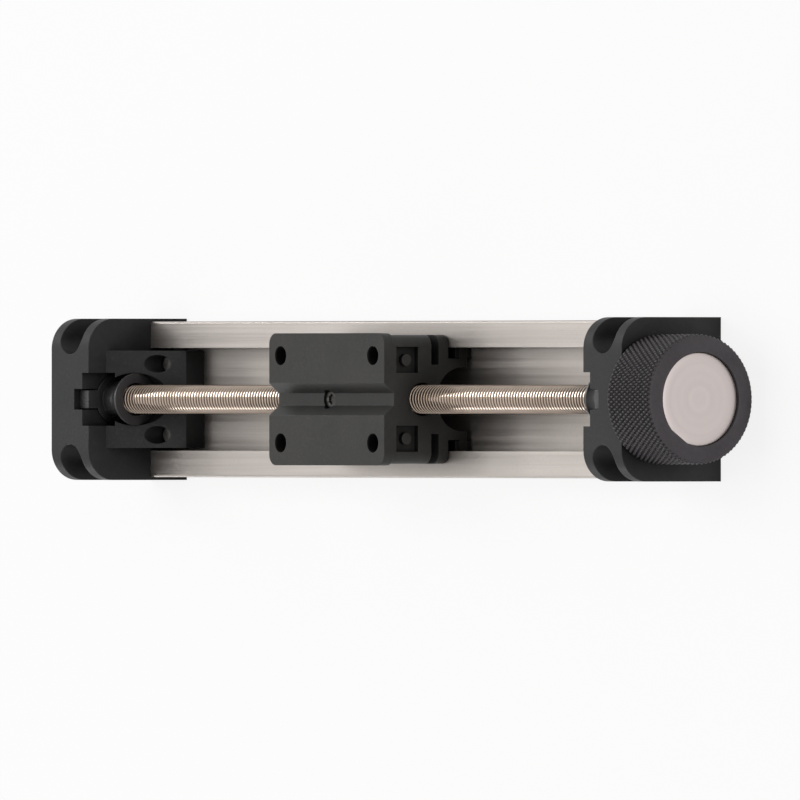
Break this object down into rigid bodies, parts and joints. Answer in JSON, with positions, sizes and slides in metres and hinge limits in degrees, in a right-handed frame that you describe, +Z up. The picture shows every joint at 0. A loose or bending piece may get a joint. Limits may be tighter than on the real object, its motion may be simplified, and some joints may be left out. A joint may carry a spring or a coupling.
{
  "type": "linear translation stage",
  "caption": "Manual leadscrew stage: a carriage slides along a shallow aluminium channel between two end blocks, moved by a knurled hand knob.",
  "frame": {"origin": "middle of the rail's underside", "axes": "+X along the leadscrew towards the knob, +Y across the rail, +Z up from the base to the carriage top"},
  "size_m": [0.1796, 0.028, 0.0246],
  "materials": {
    "rail_aluminium": "satin anodised",
    "block_plastic": "moulded, fine satin",
    "bush_plastic": "satin",
    "washer_steel": "plain",
    "ring_steel": "blued spring steel",
    "fastener_steel": "black oxide",
    "foot_screw_steel": "bright plated",
    "screw_steel": "rolled thread, warm grey",
    "knob_plastic": "knurled, satin",
    "cap_aluminium": "matt",
    "carriage_plastic": "moulded, fine satin",
    "nut_plastic": "plain bearing grade",
    "liner_plastic": "plain bearing grade"
  },
  "bodies": {
    "base": {"rail": "rail_aluminium", "end_block_drive": "block_plastic", "end_block_far": "block_plastic", "bush_drive": "bush_plastic", "bush_far": "bush_plastic", "thrust_washer_drive": "washer_steel", "thrust_washer_far": "washer_steel", "foot_screw_drive_a": "foot_screw_steel", "foot_screw_drive_b": "foot_screw_steel", "foot_screw_far_a": "foot_screw_steel", "foot_screw_far_b": "foot_screw_steel"},
    "screw": {"lead_screw": "screw_steel", "retaining_ring_drive": "ring_steel", "retaining_ring_far": "ring_steel", "knob": "knob_plastic", "knob_washer": "washer_steel", "knob_nut": "fastener_steel", "knob_cap": "cap_aluminium"},
    "carriage": {"carriage_body": "carriage_plastic", "lead_nut": "nut_plastic", "nut_screw_a": "fastener_steel", "nut_screw_b": "fastener_steel", "lock_screw": "fastener_steel", "glide_liner_a": "liner_plastic", "glide_liner_b": "liner_plastic"}
  },
  "joints": [
    {"name": "knob_spin", "type": "hinge", "parent": "base", "child": "screw", "pos_m": [0, 0, 0.0135], "axis": [1, 0, 0], "range_deg": [-19690, 20815]},
    {"name": "carriage_slide", "type": "slide", "parent": "base", "child": "carriage", "axis": [1, 0, 0], "range_m": [-0.04375, 0.04625]}
  ],
  "couplings": [
    {"joint": "knob_spin", "follows": "carriage_slide", "rad_per_m": 7854}
  ]
}
